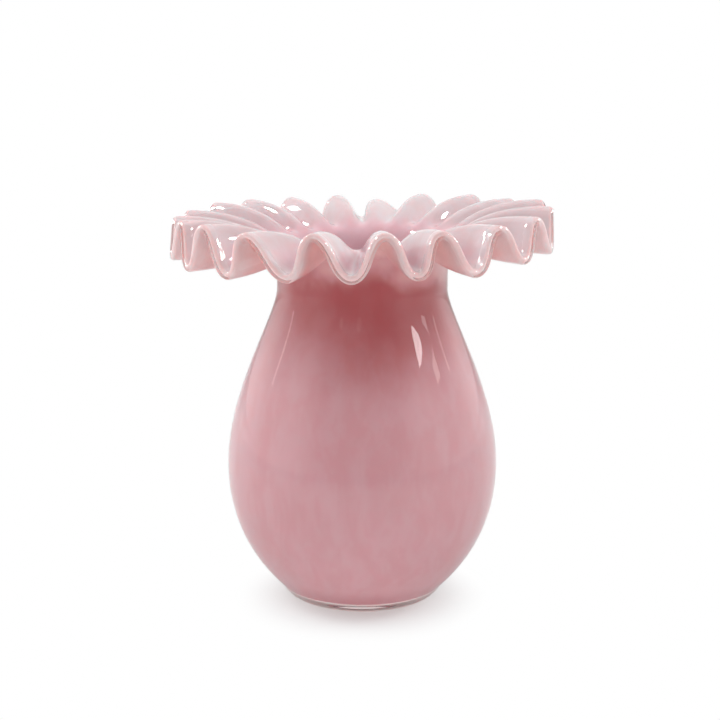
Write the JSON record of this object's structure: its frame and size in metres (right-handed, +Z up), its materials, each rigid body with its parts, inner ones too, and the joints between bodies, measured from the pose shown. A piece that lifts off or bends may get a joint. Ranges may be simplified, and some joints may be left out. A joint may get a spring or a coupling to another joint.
{
  "type": "ruffled glass vase",
  "caption": "Blown glass vase with a rounded bowl, a narrow neck and a wide crimped collar, in milky pink glass cased in clear glass, for holding flowers.",
  "frame": {"origin": "middle of the flat face that the vase stands on, on the axis of the bowl", "axes": "+Z up along the axis of the bowl, -Y towards the side that the picture shows"},
  "size_m": [0.1696, 0.1699, 0.1789],
  "materials": {
    "clear_glass": "clear, fire polished",
    "pink_glass": "milky pink, nearly opaque, fire polished"
  },
  "bodies": {
    "root": {"clear_foot": "clear_glass", "clear_casing": "clear_glass", "pink_lining": "pink_glass", "clear_ruffle": "clear_glass", "pink_ruffle": "pink_glass", "lip_bead": "clear_glass"}
  },
  "joints": []
}
